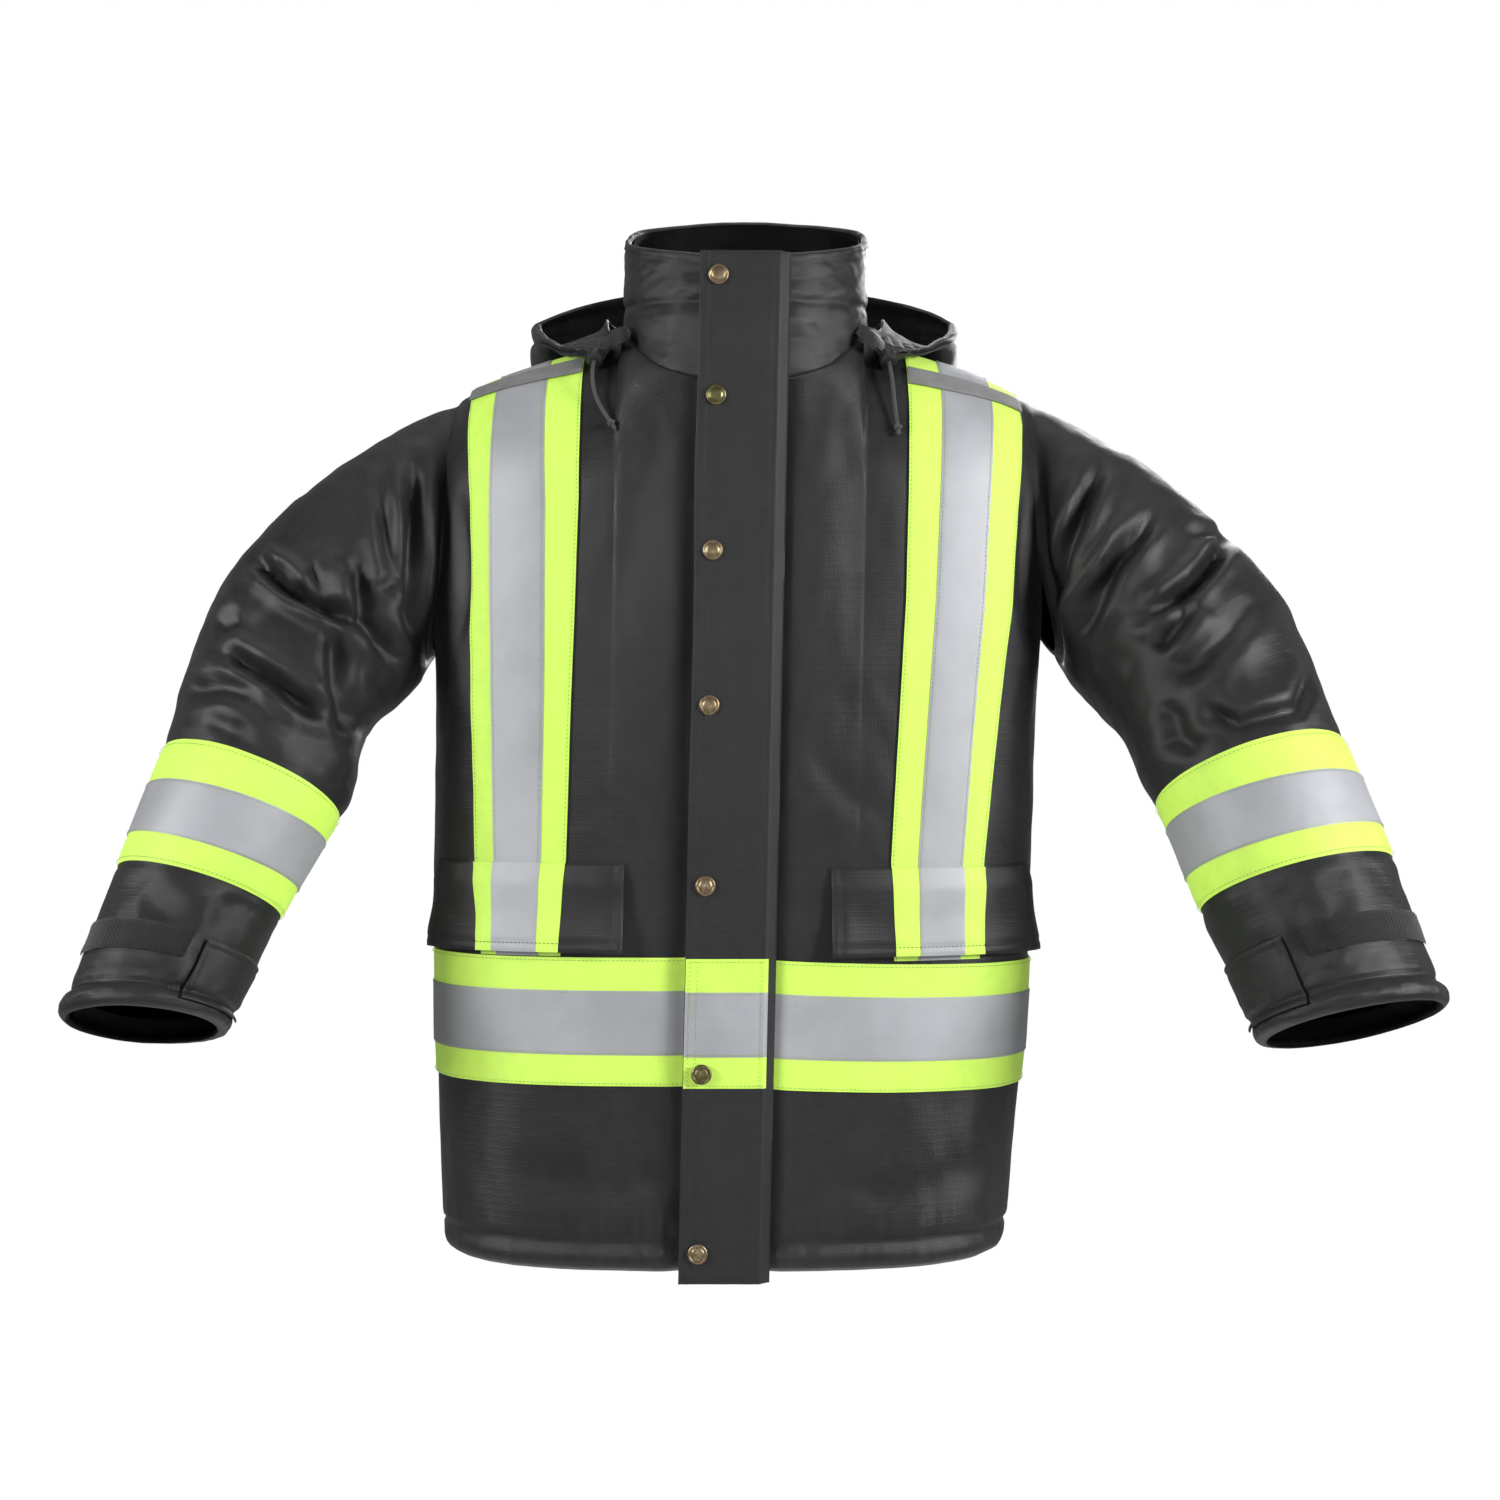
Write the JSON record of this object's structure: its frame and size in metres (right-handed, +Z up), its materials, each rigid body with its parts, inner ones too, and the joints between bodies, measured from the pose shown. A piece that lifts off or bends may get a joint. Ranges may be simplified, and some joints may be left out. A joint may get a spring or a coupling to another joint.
{
  "type": "insulated safety coat",
  "caption": "Black insulated high-visibility coat with stand collar, stowed hood, snap storm flap over a zipper, flapped pockets and neon and silver reflective tape.",
  "frame": {"origin": "base of the wearer's neck between the shoulders", "axes": "+X to the wearer's left, -Y to the front, +Z up"},
  "size_m": [1.0449, 0.4324, 0.886],
  "materials": {
    "shell_fabric": "coated oxford weave, satin",
    "lining": "smooth black lining",
    "insulation": "quilted batting",
    "contrast_tape": "matte woven neon tape",
    "silver_tape": "retroreflective, finely ribbed",
    "seam_tape": "smooth grey piping tape",
    "antique_brass": "antique, lightly worn",
    "zipper_metal": "dark plated",
    "zipper_tape": "woven webbing",
    "lock_plastic": "moulded",
    "cord": "braided"
  },
  "bodies": {
    "root": {"back_panel": "shell_fabric", "insulation_batt": "insulation", "body_lining": "lining", "collar_outer": "shell_fabric", "collar_lining": "lining", "hanger_loop": "zipper_tape", "snap_studs": "zipper_tape", "waist_contrast_tape": "contrast_tape", "waist_silver_tape": "silver_tape", "back_contrast_cross": "contrast_tape", "back_silver_cross": "silver_tape", "right_front_panel": "shell_fabric", "right_zipper_half": "zipper_tape", "right_pocket_bag": "lining", "right_front_contrast_stripe": "contrast_tape", "right_front_silver_stripe": "silver_tape", "right_shoulder_strip": "seam_tape", "right_sleeve_head": "shell_fabric", "right_draw_cord": "cord", "left_front_panel": "shell_fabric", "left_zipper_half": "zipper_tape", "left_pocket_bag": "lining", "left_front_contrast_stripe": "contrast_tape", "left_front_silver_stripe": "silver_tape", "left_shoulder_strip": "seam_tape", "left_sleeve_head": "shell_fabric", "left_draw_cord": "cord"},
    "storm_flap": {"storm_flap": "shell_fabric", "storm_flap_contrast_tape": "contrast_tape", "storm_flap_silver_tape": "silver_tape", "snap_cap_1": "antique_brass", "snap_cap_2": "antique_brass", "snap_cap_3": "antique_brass", "snap_cap_4": "antique_brass", "snap_cap_5": "antique_brass", "snap_cap_6": "antique_brass", "snap_cap_7": "antique_brass"},
    "zipper_slider": {"zipper_slider": "zipper_metal"},
    "zipper_pull": {"zipper_pull": "zipper_metal"},
    "hood": {"hood_shell": "shell_fabric"},
    "right_pocket_flap": {"right_pocket_flap": "shell_fabric", "right_flap_tape": "contrast_tape"},
    "right_upper_sleeve": {"right_upper_sleeve": "shell_fabric", "right_elbow_section": "shell_fabric"},
    "right_forearm": {"right_forearm_sleeve": "shell_fabric", "right_sleeve_contrast_band": "contrast_tape", "right_sleeve_silver_band": "silver_tape", "right_cuff_loop_strip": "shell_fabric"},
    "right_cuff_tab": {"right_cuff_tab": "shell_fabric"},
    "right_cord_lock": {"right_cord_lock": "lock_plastic"},
    "left_pocket_flap": {"left_pocket_flap": "shell_fabric", "left_flap_tape": "contrast_tape"},
    "left_upper_sleeve": {"left_upper_sleeve": "shell_fabric", "left_elbow_section": "shell_fabric"},
    "left_forearm": {"left_forearm_sleeve": "shell_fabric", "left_sleeve_contrast_band": "contrast_tape", "left_sleeve_silver_band": "silver_tape", "left_cuff_loop_strip": "shell_fabric"},
    "left_cuff_tab": {"left_cuff_tab": "shell_fabric"},
    "left_cord_lock": {"left_cord_lock": "lock_plastic"}
  },
  "joints": [
    {"name": "storm_flap_hinge", "type": "hinge", "parent": "root", "child": "storm_flap", "pos_m": [0.02283, -0.1385, -0.3], "axis": [0.0215, 0, 0.9998], "range_deg": [0, 100]},
    {"name": "zipper_slide", "type": "slide", "parent": "root", "child": "zipper_slider", "axis": [-0.0215, 0, -0.9998], "range_m": [0, 0.755]},
    {"name": "zipper_pull_swing", "type": "hinge", "parent": "zipper_slider", "child": "zipper_pull", "pos_m": [-0.0038, -0.1375, 0.066], "axis": [0, 1, 0], "range_deg": [-30, 30]},
    {"name": "hood_lift", "type": "hinge", "parent": "root", "child": "hood", "pos_m": [0, -0.06, 0.08], "axis": [1, 0, 0], "range_deg": [0, 28]},
    {"name": "right_pocket_flap_hinge", "type": "hinge", "parent": "root", "child": "right_pocket_flap", "pos_m": [-0.17727, -0.1253, -0.399], "axis": [-0.9642, 0.2651, 0], "range_deg": [0, 110]},
    {"name": "right_shoulder", "type": "hinge", "parent": "root", "child": "right_upper_sleeve", "pos_m": [-0.27503, -0.0023, -0.08187], "axis": [0, 1, 0], "range_deg": [0, 45], "deforming": ["right_sleeve_head"]},
    {"name": "right_elbow", "type": "hinge", "parent": "right_upper_sleeve", "child": "right_forearm", "pos_m": [-0.3617, -0.11028, -0.23691], "axis": [-0.9673, 0, 0.2537], "range_deg": [0, 80], "deforming": ["right_elbow_section"]},
    {"name": "right_cuff_tab_hinge", "type": "hinge", "parent": "right_forearm", "child": "right_cuff_tab", "pos_m": [-0.38474, -0.16876, -0.49741], "axis": [0.3542, 0.4482, 0.8208], "range_deg": [0, 100]},
    {"name": "right_cord_lock_slide", "type": "slide", "parent": "root", "child": "right_cord_lock", "axis": [-0.0949, -0.6631, -0.7425], "range_m": [0, 0.012]},
    {"name": "left_pocket_flap_hinge", "type": "hinge", "parent": "root", "child": "left_pocket_flap", "pos_m": [0.14621, -0.12618, -0.403], "axis": [-0.9677, -0.2519, 0], "range_deg": [0, 110]},
    {"name": "left_shoulder", "type": "hinge", "parent": "root", "child": "left_upper_sleeve", "pos_m": [0.2655, -0.0023, -0.08245], "axis": [0, -1, 0], "range_deg": [0, 45], "deforming": ["left_sleeve_head"]},
    {"name": "left_elbow", "type": "hinge", "parent": "left_upper_sleeve", "child": "left_forearm", "pos_m": [0.35573, -0.11032, -0.23818], "axis": [-0.9504, 0, -0.311], "range_deg": [0, 80], "deforming": ["left_elbow_section"]},
    {"name": "left_cuff_tab_hinge", "type": "hinge", "parent": "left_forearm", "child": "left_cuff_tab", "pos_m": [0.37206, -0.16744, -0.50235], "axis": [0.3225, -0.3833, -0.8655], "range_deg": [0, 100]},
    {"name": "left_cord_lock_slide", "type": "slide", "parent": "root", "child": "left_cord_lock", "axis": [0.0933, -0.6467, -0.757], "range_m": [0, 0.012]}
  ]
}
